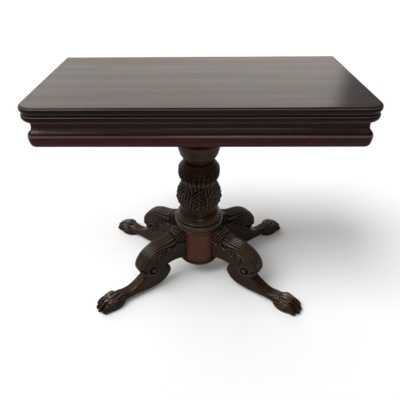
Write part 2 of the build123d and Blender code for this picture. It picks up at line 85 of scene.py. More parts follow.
def tint(name, text, default):
    return bpy.props.FloatVectorProperty(name=name, description=text, default=default, size=3,
                                         min=0.0, max=1.0, subtype="COLOR")


def fraction(name, text, default):
    return bpy.props.FloatProperty(name=name, description=text, default=default, min=0.0, max=1.0,
                                   subtype="FACTOR")


class CardTableSizes(bpy.types.PropertyGroup):
    leg_grain: length("Leg mesh step", "Spacing of the points on a carved leg", 1.25)
    rib_width: length("Rib width", "Width of one rib of the knee leaf", 10.2)
    rib_depth: length("Rib depth", "How deep the grooves between the ribs are cut", 4.3)
    leaf_rise: length("Leaf rise", "How far the knee leaf stands over the plain wood", 2.4)
    scroll_cut: length("Scroll cut", "Depth of the hollow round the scroll's button", 6.5)
    fur_depth: length("Fur depth", "Depth of the strokes on the ankle", 1.7)
    toe_cut: length("Toe cut", "Depth of the cuts between the toes", 2.6)
    column_leaves: number("Column leaves", "Veined leaves around the carved column", 4)
    column_tips: number("Leaf tips", "Small leaf tips under the neck ring", 13)
    column_cut: length("Column cut", "Depth of the carving on the column", 6.0)
    column_steps: number("Column steps", "Points around the carved column", 420)
    turning_steps: number("Turning steps", "Points around a turned piece", 160)
    panel_border: length("Panel border", "Width of the strip round a panel of the hub", 7.5)
    panel_groove: length("Panel groove", "Width and depth of the groove inside that strip", 1.8)


class CardTableColours(bpy.types.PropertyGroup):
    top_dark: tint("Top, dark grain", "Dark lines of the polished leaves", (0.010, 0.004, 0.003))
    top_light: tint("Top, light grain", "Light figure of the polished leaves", (0.034, 0.013, 0.008))
    frame_dark: tint("Frame, dark grain", "Dark lines of the frame", (0.006, 0.0022, 0.0018))
    frame_light: tint("Frame, light grain", "Light figure of the frame", (0.031, 0.0065, 0.0042))
    carved_dark: tint("Carving, dark grain", "Dark lines of the carved wood", (0.006, 0.0030, 0.0018))
    carved_light: tint("Carving, light grain", "Light figure of the carved wood", (0.031, 0.0130, 0.0045))
    panel_dark: tint("Panel, dark grain", "Dark lines of the hub's panels", (0.036, 0.012, 0.005))
    panel_light: tint("Panel, light grain", "Light figure of the hub's panels", (0.092, 0.028, 0.010))
    pine_dark: tint("Pine, dark grain", "Dark lines of the plain boards", (0.20, 0.11, 0.050))
    pine_light: tint("Pine, light grain", "Light figure of the plain boards", (0.46, 0.30, 0.16))
    brass: tint("Brass", "Hinge plates and links", (0.52, 0.36, 0.14))
    iron: tint("Iron", "Pivot plate, washer and nut", (0.060, 0.056, 0.052))
    steel: tint("Steel", "Pins and screws", (0.30, 0.28, 0.26))
    floor: tint("Floor", "The studio floor", (0.892, 0.90, 0.912))
    polish: fraction("Polish", "Coat on the top, from none to full", 0.95)


# Materials


class Tap:
    """A node's output that can be used in arithmetic; each operation adds a Math node."""

    def __init__(self, sheet, socket):
        self.sheet = sheet
        self.socket = socket

    def __add__(self, other):
        return self.sheet.maths("ADD", self, other)

    __radd__ = __add__

    def __mul__(self, other):
        return self.sheet.maths("MULTIPLY", self, other)

    __rmul__ = __mul__

    def __sub__(self, other):
        return self.sheet.maths("SUBTRACT", self, other)

    def __rsub__(self, other):
        return self.sheet.maths("SUBTRACT", other, self)


# Sockets of a Mix node that only their places tell apart
MIX_SHARE, MIX_FIRST, MIX_SECOND, MIX_RESULT = 0, 6, 7, 2


class Sheet:
    """A node tree that is written down one node at a time."""

    def __init__(self, tree):
        self.tree = tree
        tree.nodes.clear()

    def node(self, kind, settings=None, sockets=None, output=0):
        """A new node: settings are its own fields, sockets take values or links."""
        made = self.tree.nodes.new("ShaderNode" + kind)
        for name, value in (settings or {}).items():
            setattr(made, name, value)
        for name, value in (sockets or {}).items():
            if isinstance(value, Tap):
                self.tree.links.new(value.socket, made.inputs[name])
            else:
                made.inputs[name].default_value = value
        return Tap(self, made.outputs[output]) if made.outputs else made

    def maths(self, operation, *values):
        return self.node("Math", {"operation": operation}, dict(enumerate(values)))

    def away(self, value, level):
        """How far a value is from a level, on either side."""
        return self.maths("ABSOLUTE", value - level)

    def blend(self, share_of_second, first, second):
        """Two colours through a Mix node."""
        ends = {MIX_SHARE: share_of_second, MIX_FIRST: first, MIX_SECOND: second}
        return self.node("Mix", {"data_type": "RGBA"}, ends, MIX_RESULT)

    def band(self, value, low, high, start=0.0, end=1.0):
        """A value carried smoothly from one range to another."""
        ends = {"Value": value, "From Min": low, "From Max": high, "To Min": start, "To Max": end}
        return self.node("MapRange", {"interpolation_type": "SMOOTHSTEP"}, ends)

    def noise(self, place, scale, detail=3.0, roughness=0.55, distortion=0.0):
        return self.node("TexNoise", {}, {"Vector": place, "Scale": scale, "Detail": detail,
                                          "Roughness": roughness, "Distortion": distortion})

    def object_place(self):
        return self.node("TexCoord", output="Object")

    def axis(self, vector, name):
        return self.node("SeparateXYZ", {}, {"Vector": vector}, name)

    def kept(self, attribute, output="Fac"):
        """A value that keep_map has stored on the piece."""
        return self.node("Attribute", {"attribute_name": attribute}, {}, output)


def opaque(colour):
    return (*colour, 1.0)


def new_sheet(name):
    material = bpy.data.materials.new(name)
    material.use_nodes = True
    return material, Sheet(material.node_tree)


def darker(colour, share_left):
    return opaque([channel * share_left for channel in colour])


def finish_sheet(sheet, **sockets):
    named = {name.replace("_", " "): value for name, value in sockets.items()}
    sheet.node("OutputMaterial", {}, {"Surface": sheet.node("BsdfPrincipled", {}, named)})


# Noises of the wood: scale per metre, detail, roughness, distortion
FIGURE = (26, 4, 0.6, 0.7)
FIBRE = (210, 3, 0.65, 0.2)
PORES = (900, 2, 0.5)
CLOUDS = (5, 2, 0.5)
ALONG_GRAIN = 0.055
FIBRE_SHARE = 0.35

# Ranges that turn a noise or a map into a share: low, high, and what they give
FIGURE_BAND = (0.34, 0.66)
PORE_BAND = (0.56, 0.68)
PORE_DEPTH_BAND = (0.54, 0.70)
CLOUD_BAND = (0.35, 0.7, 0.0, 0.35)
COAT_BAND = (0.3, 0.7, 0.85, 1.0)
HIGHLIGHT_BREAK_BAND = (0.3, 0.6, 0.6, 1.0)
HOLLOW_SHADE_BAND = (0.20, 0.60, 0.97, 0.0)
CREST_HIGHLIGHT_BAND = (0.64, 0.92, 0.0, 0.75)
CARVED_ROUGH_BAND = (0.1, 0.9, 0.16, -0.05)

# Shades of the dark grain, and the strength of other changes; the edge and hollow shades are painted
# shade, and the two pale tones are painted highlights
PORE_SHADE = 0.45
PAINTED_EDGE_SHADE = 0.6
PAINTED_HOLLOW_SHADE = 0.12
PORE_SHARE = 0.55
FIGURE_ROUGH = 0.12
PORE_ROUGH = 0.10
MIDDLE = 0.5
PAINTED_CREST_HIGHLIGHT = (0.070, 0.047, 0.033)
PAINTED_HIGHLIGHT_TONE = (0.19, 0.135, 0.11)

# Painted highlight lines on the frame's mouldings: height over its lower edge, spread, amount
PAINTED_HIGHLIGHT_LINES = ((33.5, 4.5, 0.50), (48.0, 8.0, 0.30), (14.0, 3.0, 0.06))

# A leaf's polish, painted shade on its edges and a painted highlight on its arris, by the distance from
# the middle of its thickness
FACE_GLOSS_FROM = (8.8 * MM, 10.2 * MM)
EDGE_GLOSS = 0.11
PAINTED_EDGE_SHADE_RANGE = (9.3 * MM, 10.2 * MM)
PAINTED_EDGE_SHADE_AMOUNT = 0.85
ARRIS_FROM = (5.0 * MM, 6.8 * MM)
ARRIS_TO = (7.0 * MM, 8.6 * MM)
PAINTED_ARRIS_HIGHLIGHT = 0.34


def paint_highlight_lines(sheet, colour, gloss, broad, high, lines):
    """Painted highlights along the frame's mouldings: pale level lines broken by the figure, each also
    given more coat.
    """
    for over, spread, amount in lines:
        level = low_of("front_rail") + over
        line = sheet.band(sheet.away(high, level * MM), 0.0, spread * MM, amount, 0.0)
        # Painted highlight: the colour turns towards a pale tone along each line.
        colour = sheet.blend(line * sheet.band(broad, *HIGHLIGHT_BREAK_BAND), colour, opaque(PAINTED_HIGHLIGHT_TONE))
        gloss = gloss + line
    return colour, gloss


def polish_and_paint_leaf_edges(sheet, colour, gloss, high, dark):
    """Glossy faces, dull edges darkened with painted shade, and a painted highlight along the arris."""
    join = low_of("upper_leaf") * MM
    half_thick = (high_of("upper_leaf") - low_of("upper_leaf")) / 2 * MM
    from_middle = sheet.away(sheet.away(high, join), half_thick)
    gloss = gloss * sheet.band(from_middle, *FACE_GLOSS_FROM, EDGE_GLOSS, 1.0)
    # Painted shade: the rounded edges are darkened towards the dark grain.
    edge = sheet.band(from_middle, *PAINTED_EDGE_SHADE_RANGE, PAINTED_EDGE_SHADE_AMOUNT, 0.0)
    colour = sheet.blend(edge, colour, darker(dark, PAINTED_EDGE_SHADE))
    # Painted highlight: a pale line along the arris.
    arris_highlight = sheet.band(from_middle, *ARRIS_FROM) * sheet.band(from_middle, *ARRIS_TO, PAINTED_ARRIS_HIGHLIGHT, 0.0)
    return sheet.blend(arris_highlight, colour, opaque(PAINTED_HIGHLIGHT_TONE)), gloss


def paint_carving_shade_and_highlights(sheet, colour, rough, dark):
    """Painted shade in the hollows and painted highlights on the crests, by the height that the carving's
    own map holds.
    """
    relief = sheet.kept("relief")
    # Painted shade: hollows are darkened towards the dark grain.
    colour = sheet.blend(sheet.band(relief, *HOLLOW_SHADE_BAND), colour, darker(dark, PAINTED_HOLLOW_SHADE))
    # Painted highlight: crests are lightened towards a pale tone.
    colour = sheet.blend(sheet.band(relief, *CREST_HIGHLIGHT_BAND), colour, opaque(PAINTED_CREST_HIGHLIGHT))
    return colour, rough + sheet.band(relief, *CARVED_ROUGH_BAND)


def wood(name, dark, light, grain, roughness, specular, figure=1.0, coat=0.0, haze=0.12, pores=1.0,
         carved=False, painted_highlights=(), leaf=False):
    """Mahogany or pine with figure and pores along the grain; carved wood reads its own map. Frame lines,
    leaf edges and carving can get painted highlights and painted shade in their colour.
    """
    material, sheet = new_sheet(name)
    place = sheet.kept("grain_place", "Vector") if carved else sheet.object_place()
    stretch = tuple(ALONG_GRAIN if axis else 1.0 for axis in grain)
    place = sheet.node("Mapping", {}, {"Vector": place, "Scale": stretch})
    broad = sheet.noise(place, FIGURE[0] * figure, *FIGURE[1:])
    fine = sheet.noise(place, *FIBRE)
    pore = sheet.noise(place, *PORES)
    cloud = sheet.noise(place, *CLOUDS)
    figure_share = sheet.band(broad * (1 - FIBRE_SHARE) + fine * FIBRE_SHARE, *FIGURE_BAND)
    colour = sheet.blend(figure_share, opaque(dark), opaque(light))
    pore_share = sheet.band(pore, *PORE_BAND, 0.0, PORE_SHARE * pores)
    colour = sheet.blend(pore_share, colour, darker(dark, PORE_SHADE))
    colour = sheet.blend(sheet.band(cloud, *CLOUD_BAND), colour, opaque(light))
    rough = roughness + FIGURE_ROUGH * (broad - MIDDLE) + PORE_ROUGH * (pore - MIDDLE)
    gloss = coat * sheet.band(broad, *COAT_BAND)
    high = sheet.axis(sheet.object_place(), "Z")
    colour, gloss = paint_highlight_lines(sheet, colour, gloss, broad, high, painted_highlights)
    if leaf:
        colour, gloss = polish_and_paint_leaf_edges(sheet, colour, gloss, high, dark)
    height = fine * FIBRE_SHARE - sheet.band(pore, *PORE_DEPTH_BAND) * pores
    if carved:
        colour, rough = paint_carving_shade_and_highlights(sheet, colour, rough, dark)
        gloss = coat * sheet.kept("wax")
    bump = sheet.node("Bump", {}, {"Strength": 0.22, "Distance": 0.4 * MM, "Height": height})
    finish_sheet(sheet, Base_Color=colour, Roughness=rough, Normal=bump, Coat_Weight=gloss,
                 Coat_Roughness=haze, Specular_IOR_Level=specular)
    return material


# Aged metal
PATCHES = (90, 4, 0.6)
SCRATCHES = (1500, 2)
SCRATCH_RUN = (0.08, 1, 1)
PATCH_BAND = (0.38, 0.7, 0.0, 0.6)
PATCH_SHADE = 0.35
ROUGH_BY_PATCH = 0.25
ROUGH_BY_SCRATCH = 0.25


def metal(name, colour, roughness):
    """Aged metal with fine scratches and darker patches."""
    material, sheet = new_sheet(name)
    place = sheet.object_place()
    patches = sheet.noise(place, *PATCHES)
    streaks = sheet.noise(sheet.node("Mapping", {}, {"Vector": place, "Scale": SCRATCH_RUN}), *SCRATCHES)
    shade = sheet.band(patches, *PATCH_BAND)
    tone = sheet.blend(shade, opaque(colour), darker(colour, PATCH_SHADE))
    rough = roughness + ROUGH_BY_PATCH * (patches - MIDDLE) + ROUGH_BY_SCRATCH * (streaks - MIDDLE)
    bump = sheet.node("Bump", {}, {"Strength": 0.15, "Distance": 0.2 * MM, "Height": streaks})
    finish_sheet(sheet, Base_Color=tone, Roughness=rough, Metallic=1.0, Normal=bump)
    return material


ALONG_X = (1, 0, 0)
ALONG_Y = (0, 1, 0)
ALONG_Z = (0, 0, 1)
TOP_FINISH = {"figure": 0.8, "roughness": 0.40, "haze": 0.14, "specular": 0.05, "leaf": True}
FRAME_FINISH = {"roughness": 0.27, "specular": 0.08, "painted_highlights": PAINTED_HIGHLIGHT_LINES}
TURNED_FINISH = {"roughness": 0.40, "coat": 0.2, "haze": 0.3, "specular": 0.02}
CARVED_FINISH = {"roughness": 0.45, "carved": True, "coat": 1.0, "haze": 0.16, "specular": 0.03}
PANEL_FINISH = {"figure": 0.7, "roughness": 0.42, "specular": 0.12}
PINE_FINISH = {"figure": 0.7, "roughness": 0.72, "pores": 0.3, "specular": 0.25}
FINISHES = {}


def make_finishes(colours):
    """Every material of the table, kept by name in FINISHES."""
    woods = (
        ("polished_top", "top", ALONG_X, {**TOP_FINISH, "coat": colours.polish}),
        ("dark_mahogany", "frame", ALONG_X, FRAME_FINISH),
        ("side_mahogany", "frame", ALONG_Y, FRAME_FINISH),
        ("turned_mahogany", "carved", ALONG_Z, TURNED_FINISH),
        ("carved_mahogany", "carved", ALONG_X, CARVED_FINISH),
        ("carved_column", "carved", ALONG_Z, CARVED_FINISH),
        ("red_mahogany", "panel", ALONG_Z, PANEL_FINISH),
        ("pine", "pine", ALONG_X, PINE_FINISH),
        ("cross_pine", "pine", ALONG_Y, PINE_FINISH),
    )
    for name, shades, grain, settings in woods:
        dark, light = (getattr(colours, shades + end) for end in ("_dark", "_light"))
        FINISHES[name] = wood(name, dark, light, grain, **settings)
    FINISHES["brass"] = metal("brass", colours.brass, 0.34)
    FINISHES["iron"] = metal("iron", colours.iron, 0.52)
    FINISHES["steel"] = metal("steel", colours.steel, 0.38)


# Meshes

# Points closer than this, in metres, are one.
MERGE = 1e-6


def show(name, mesh, material, body, slot, *nodes, smooth=True):
    """Put a finished mesh in the scene as one piece of the table."""
    piece = bpy.data.objects.new(name, mesh)
    bpy.context.scene.collection.objects.link(piece)
    mesh.materials.clear()
    mesh.materials.append(material)
    if smooth:
        mesh.shade_smooth()
    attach(piece, body)
    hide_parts(*nodes)


def mesh_from(shape, name):
    mesh = bpy.data.meshes.new(name)
    shape.to_mesh(mesh)
    shape.free()
    return mesh


def spun(outline, steps):
    """A turned shape from a closed outline of (radius, height) points in millimetres."""
    shape = bmesh.new()
    verts = [shape.verts.new((r * MM, 0.0, z * MM)) for r, z in outline]
    edges = [shape.edges.new(pair) for pair in zip(verts, verts[1:] + verts[:1])]
    bmesh.ops.spin(shape, geom=verts + edges, cent=(0, 0, 0), axis=(0, 0, 1), angle=tau,
                   steps=steps, use_merge=True, use_duplicate=False)
    bmesh.ops.remove_doubles(shape, verts=shape.verts, dist=MERGE)
    bmesh.ops.recalc_face_normals(shape, faces=shape.faces)
    return shape


def smooth_run(points, count=5):
    """Points on a smooth curve through a few given ones."""
    given = np.array(points, float)
    held = np.vstack([2 * given[0] - given[1], given, 2 * given[-1] - given[-2]])
    made = []
    for k in range(1, len(held) - 2):
        p0, p1, p2, p3 = held[k - 1:k + 3]
        for t in np.linspace(0, 1, count, endpoint=False):
            made.append(0.5 * (2 * p1 + (p2 - p0) * t + (2 * p0 - 5 * p1 + 4 * p2 - p3) * t ** 2
                               + (3 * p1 - p0 - 3 * p2 + p3) * t ** 3))
    made.append(given[-1])
    return np.array(made)


def read(mesh, field):
    """One vector of every vertex: its place, co, in metres or its normal."""
    values = np.zeros(len(mesh.vertices) * 3, np.float32)
    mesh.vertices.foreach_get(field, values)
    return values.reshape(-1, 3).astype(float)


def move_to(mesh, co):
    mesh.vertices.foreach_set("co", (co * MM).astype(np.float32).ravel())
    mesh.update()


# Wax stays a little on slopes and mostly where the carving stands high and looks up.
WAX_ON_SLOPES = 0.15
SLOPE_BAND = (0.25, 0.6)
UP_BAND = (0.15, 0.8)
HIGH_BAND = (0.5, 0.85)


def keep_map(mesh, grain_place, relief):
    """The carving's own map: where the grain runs, how high each point stands, and its wax."""
    grain = mesh.attributes.new("grain_place", "FLOAT_VECTOR", "POINT")
    grain.data.foreach_set("vector", (grain_place * MM).astype(np.float32).ravel())
    raised = ease(read(mesh, "normal")[:, 2], *UP_BAND) * ease(relief, *HIGH_BAND)
    wax = WAX_ON_SLOPES * ease(relief, *SLOPE_BAND) + (1 - WAX_ON_SLOPES) * raised
    for name, values in (("relief", np.clip(relief, 0, 1)), ("wax", wax)):
        kept = mesh.attributes.new(name, "FLOAT", "POINT")
        kept.data.foreach_set("value", values.astype(np.float32))


def ease(value, low, high):
    """Smooth step from 0 at low to 1 at high."""
    t = np.clip((value - low) / (high - low), 0, 1)
    return t * t * (3 - 2 * t)


def along_line(points, line):
    """For points (n, 2): arc length of the nearest place on a line, distance from it, and side."""
    start, end = line[:-1], line[1:]
    run = end - start
    size = np.linalg.norm(run, axis=1)
    gap = points[:, None, :] - start[None]
    t = np.clip((gap * run).sum(-1) / (size ** 2), 0, 1)
    off = gap - t[..., None] * run
    far = np.sqrt((off ** 2).sum(-1))
    nearest = far.argmin(1)
    rows = np.arange(len(points))
    travelled = np.concatenate([[0], np.cumsum(size)])[:-1]
    side = np.sign(run[nearest, 0] * off[rows, nearest, 1] - run[nearest, 1] * off[rows, nearest, 0])
    return travelled[nearest] + t[rows, nearest] * size[nearest], far[rows, nearest], side


def cut(value, sharp=0.7):
    """Round ridges with sharp grooves between them, one per unit of value, from 0 to 1."""
    return np.abs(np.sin(pi * value)) ** sharp


def hill(value, width):
    """A smooth mound of height 1 about value 0."""
    return np.exp(-(value / width) ** 2)


def wave(value, height, length):
    return height * np.sin(value / length)


def rounds(value, *rings):
    """Round ridges and grooves, each at its place along the value, with its spread and height."""
    return sum(height * hill(value - at, spread) for at, spread, height in rings)


def within(points, outline):
    """Which points (n, 2) lie inside a closed outline."""
    start, end = outline, np.roll(outline, -1, 0)
    x, y = points[:, 0, None], points[:, 1, None]
    level = (start[:, 1] > y) != (end[:, 1] > y)
    rise = np.where(end[:, 1] == start[:, 1], 1e-9, end[:, 1] - start[:, 1])
    crossing = start[:, 0] + (y - start[:, 1]) * (end[:, 0] - start[:, 0]) / rise
    return (level & (x < crossing)).sum(1) % 2 == 1


# Legs.  A leg is carved lying along +X: reach in x, rise in z, millimetres.

KNEE_LINE = smooth_run([(76, 234), (92, 233), (112, 228), (132, 218), (156, 211), (186, 207), (214, 197),
                        (240, 180), (258, 158), (267, 134), (264, 108), (250, 86), (228, 76)])
LEAF_EDGE = smooth_run([(60, 190), (74, 187), (86, 181), (98, 179), (108, 184), (113, 194), (118, 181),
                        (127, 172), (139, 174), (149, 188), (154, 171), (161, 157), (173, 151), (186, 153),
                        (193, 163), (194, 147), (191, 128), (194, 108), (205, 94), (221, 89), (237, 93),
                        (250, 106), (264, 124)], count=4)
LEAF = np.vstack([LEAF_EDGE, [(300, 124), (300, 280), (60, 280)]])
EYELETS = ((178, 173, 3.4), (149, 192, 2.6), (194, 168, 2.6), (113, 199, 2.6))
SHANK_RIDGE = smooth_run([(246, 94), (276, 86), (308, 74), (340, 62)])
SCROLL = np.array((219.0, 112.0))

# Claws, knuckles as (reach from the claw, rise, length), and the rolled leaf tip
TOES = 4
CLAW_REACH = 430.5
CLAW_SWEEP = 4.5
CLAW_RISE = 9.5
CLAW_GAP = 15.5
CLAW_SIZE = (10.0, 7.7, 7.2)
CLAW_SPLAY = 5
CLAW_DROOP = 38
KNUCKLES = ((-24.2, 28.2, 10.5), (-45.28, 36.88, 11.5))
KNUCKLE_GAP = 14.0
KNUCKLE_WIDTH = 8.2
KNUCKLE_HEIGHT = 9.5
ROLL_PLACE = (99, 0, 224)
ROLL_RADIUS = 9.0
ROLL_WIDTH = 46


def lump(shape, place, size, splay=0, droop=0):
    """A rounded lump of wood of these half sizes, turned about Z and then tipped, in degrees."""
    verts = bmesh.ops.create_uvsphere(shape, u_segments=16, v_segments=10, radius=1.0)["verts"]
    fit = (Matrix.Translation(Vector(place) * MM) @ Matrix.Rotation(radians(splay), 4, "Z")
           @ Matrix.Rotation(radians(droop), 4, "Y") @ Matrix.Diagonal((*(s * MM for s in size), 1.0)))
    bmesh.ops.transform(shape, verts=verts, matrix=fit)


def leg_blank(sizes):
    """The leg's CAD solid, laid along +X, with claws and a rolled leaf tip, as one closed mesh."""
    shape = bmesh.new()
    shape.from_mesh(frame["nodes"]["front_right_leg"].data)
    bmesh.ops.rotate(shape, verts=shape.verts, cent=(0, 0, 0),
                     matrix=Matrix.Rotation(-LEG_TURNS["front_right"], 3, "Z"))
    bmesh.ops.remove_doubles(shape, verts=shape.verts, dist=MERGE)
    for toe in range(TOES):
        k = toe - (TOES - 1) / 2
        reach = CLAW_REACH - CLAW_SWEEP * abs(k) ** 1.5
        lump(shape, (reach, k * CLAW_GAP, CLAW_RISE), CLAW_SIZE, CLAW_SPLAY * k, CLAW_DROOP)
        for back, rise, size in KNUCKLES:
            place = (reach + back, k * KNUCKLE_GAP, rise)
            lump(shape, place, (size, KNUCKLE_WIDTH, KNUCKLE_HEIGHT))
    roll = bmesh.ops.create_cone(shape, cap_ends=True, segments=28, radius1=ROLL_RADIUS * MM,
                                 radius2=ROLL_RADIUS * MM, depth=ROLL_WIDTH * MM)["verts"]
    fit = Matrix.Translation(Vector(ROLL_PLACE) * MM) @ Matrix.Rotation(pi / 2, 4, "X")
    bmesh.ops.transform(shape, verts=roll, matrix=fit)
    return skin_of(shape, sizes.leg_grain)


def skin_of(shape, step):
    """One even, slightly softened skin round overlapping shapes."""
    rough = bpy.data.objects.new("leg_blank", mesh_from(shape, "leg_blank"))
    bpy.context.scene.collection.objects.link(rough)
    remesh = rough.modifiers.new("skin", "REMESH")
    remesh.mode = "VOXEL"
    remesh.voxel_size = step
    soften = rough.modifiers.new("soften", "SMOOTH")
    soften.factor = 0.5
    soften.iterations = 4
    graph = bpy.context.evaluated_depsgraph_get()
    skin = bpy.data.meshes.new_from_object(rough.evaluated_get(graph))
    bpy.data.objects.remove(rough)
    return skin


# Knee leaf; a pair is the low and high end of a smooth step
LIP_RANGE = (-1.2, 1.6)
LEAF_START = (74, 79)
SIDE_RANGE = (16, 21)
RIB_SHARP = 1.1
RIB_LEVEL = 0.58
RIB_LEAN = 0.5
RIB_LEAN_REACH = 205
RIB_LEAN_RUN = 75
RIB_LEAN_DEPTH = 58.0
FIBRES_PER_RIB = 3
FIBRE_DEPTH = 0.45

# Leaf against the hub; a round of carving is (place, spread, height)
HUB_LEAF_LEVEL = 190
HUB_LEAF_LEAN = 0.25
HUB_LEAF_END = (112, 119)
HUB_GROOVE = (115.5, 2.0, -3.0)
FINGER_LEVEL = 200
FINGER_LEAN = 0.55
FINGER_BOW = 0.012
FINGER_WIDTH_SHARE = 1.15
FINGER_DEPTH_SHARE = 0.72

# Rounds along the leaf's edge, at its eyelets and in its scroll
LEAF_LIP = ((1.8, 1.9, 2.2), (6.0, 2.4, -3.0))
EYELET_RIM = (3.2, 1.9, 2.0)
EYELET_DEPTH = 6.5
SCROLL_BUTTON = (0.0, 7.0, 2.6)
SCROLL_HOLLOW = (13.0, 3.2, 1.0)
SCROLL_RIMS = ((20.5, 3.4, 2.4), (26.0, 1.7, -2.4))
SCROLL_EDGE = (23.0, 27.0)
SCROLL_MOUTH = radians(35)
SCROLL_MOUTH_RANGE = (-0.3, 0.6)
SCROLL_MOUTH_SHARE = 0.35


def scroll(flat, sizes):
    """A button in a hollow that opens towards the foot: its cover and its carving."""
    away = np.linalg.norm(flat - SCROLL, axis=1)
    angle = np.arctan2(flat[:, 1] - SCROLL[1], flat[:, 0] - SCROLL[0])
    cover = 1 - ease(away, *SCROLL_EDGE)
    mouth = ease(np.cos(angle - SCROLL_MOUTH), *SCROLL_MOUTH_RANGE)
    hollow = SCROLL_MOUTH_SHARE + (1 - SCROLL_MOUTH_SHARE) * mouth
    spiral = rounds(away, SCROLL_BUTTON) - sizes.scroll_cut / MM * hollow * rounds(away, SCROLL_HOLLOW)
    return cover, spiral + rounds(away, *SCROLL_RIMS)


def knee_leaf(flat, half, sizes):
    """Cover of the leaf from 0 to 1, and its carving over and under the leaf's own level."""
    reach, rise = flat.T
    _, under_knee, _ = along_line(flat, KNEE_LINE)
    _, edge_away, _ = along_line(flat, LEAF_EDGE)
    inside = np.where(within(flat, LEAF), edge_away, -edge_away)
    cover = ease(inside, *LIP_RANGE) * ease(reach, *LEAF_START)

    # Bold ribs run over the knee; behind it they lean down into the leaf's fingers.
    width = sizes.rib_width / MM
    deep = sizes.rib_depth / MM
    behind = np.clip(RIB_LEAN_REACH - reach, 0, RIB_LEAN_RUN)
    girth = half + under_knee - RIB_LEAN * behind * np.clip(under_knee / RIB_LEAN_DEPTH, 0, 1)
    carving = deep * (cut(girth / width + 0.5, RIB_SHARP) - RIB_LEVEL)
    carving += FIBRE_DEPTH * (cut(girth / width * FIBRES_PER_RIB, 1.0) - MIDDLE)

    # A second leaf lies against the hub, its fingers nearly upright.
    hub_reach = reach - HUB_LEAF_LEAN * (rise - HUB_LEAF_LEVEL)
    hub_leaf = 1 - ease(hub_reach, *HUB_LEAF_END)
    fingers = reach - FINGER_LEAN * (rise - FINGER_LEVEL) + FINGER_BOW * half ** 2
    fingers = cut(fingers / (width * FINGER_WIDTH_SHARE), RIB_SHARP)
    carving = carving * (1 - hub_leaf) + hub_leaf * deep * FINGER_DEPTH_SHARE * (fingers - RIB_LEVEL)
    carving += rounds(hub_reach, HUB_GROOVE)

    # The edge is a thin lip with a hollow behind it, and drilled eyes between its points.
    on_side = ease(half, *SIDE_RANGE)
    carving += on_side * rounds(inside, *LEAF_LIP)
    for x, z, size in EYELETS:
        away = np.hypot(reach - x, rise - z)
        carving += on_side * (rounds(away - size, EYELET_RIM) - EYELET_DEPTH * hill(away, size))

    in_scroll, spiral = scroll(flat, sizes)
    in_scroll = in_scroll * on_side
    return cover, carving * (1 - in_scroll) + in_scroll * spiral


# Paw: fur on the ankle, a tuft over the toes, cuts between the toes, creases across them
FUR_START = (326, 350)
FUR_END = (396, 408)
FUR_RISE = (10, 22)
FUR_SWIRL = 24
FUR_CENTRE = 12
FUR_WIDTH = 7.0
FUR_RIPPLE = 2.2
FUR_RIPPLE_LENGTH = 11.0
FUR_RIPPLE_TURN = 6
FUR_LEVEL = 0.6
TUFT = (386, 15, 5.0)
TUFT_RISE = (34, 52)
TOE_GAP = 14.6
TOE_CUT_WIDTH = 2.3
TOE_SPREAD = 0.0022
TOE_SPREAD_REACH = 360
TOE_SPREAD_RANGE = (-60, 90)
TOE_START = (354, 392)
TOE_END = (424, 440)
TOE_END_SHARE = 0.8
TOE_RISE = (3, 10)
CREASES = ((400, 2.0, -1.3), (422, 2.0, -1.5), (435, 2.0, -1.0))
CREASE_BOW = 0.02
CREASE_RISE = (12, 20)


def paw(reach, across, rise, sizes):
    """Fur on the ankle and cuts between the toes."""
    fur_on = ease(reach, *FUR_START) * (1 - ease(reach, *FUR_END)) * ease(rise, *FUR_RISE)
    swirl = np.arctan2(across, np.maximum(rise - FUR_CENTRE, 1)) * FUR_SWIRL
    ripple = FUR_RIPPLE * np.sin(reach / FUR_RIPPLE_LENGTH + swirl / FUR_RIPPLE_TURN)
    strokes = cut((swirl + ripple) / FUR_WIDTH)
    carving = fur_on * sizes.fur_depth / MM * 2.0 * (strokes - FUR_LEVEL)
    tuft = rounds(reach, TUFT) * ease(rise, *TUFT_RISE)
    carving += tuft * (FUR_LEVEL + (1 - FUR_LEVEL) * strokes)
    spread = 1.0 + np.clip(reach - TOE_SPREAD_REACH, *TOE_SPREAD_RANGE) * TOE_SPREAD
    toes_on = ease(reach, *TOE_START) * ease(rise, *TOE_RISE) * (1 - TOE_END_SHARE * ease(reach, *TOE_END))
    for line in (-1, 0, 1):
        carving -= toes_on * sizes.toe_cut / MM * hill(across - line * TOE_GAP * spread, TOE_CUT_WIDTH)
    creases = rounds(reach + CREASE_BOW * across ** 2, *CREASES)
    return carving + toes_on * creases * ease(rise, *CREASE_RISE)


# Shank: a ridge along each side with a hollow beside it
RIDGE_WIDTH = 5.0
RIDGE_HEIGHT = 1.6
RIDGE_HOLLOW = 11
RIDGE_HOLLOW_SHARE = 0.7
RIDGE_SIDE = (8, 16)
RIDGE_START = (0, 12)
RIDGE_END = (82, 98)
LEG_HALF_WIDTH = 25
LEG_RELIEF_LEVEL = 0.60
LEG_RELIEF_SPAN = 1.7

# Wood nearer the middle than this is left for the joint with the hub.
HUB_RADIUS = 77.2
HUB_REACH = 90


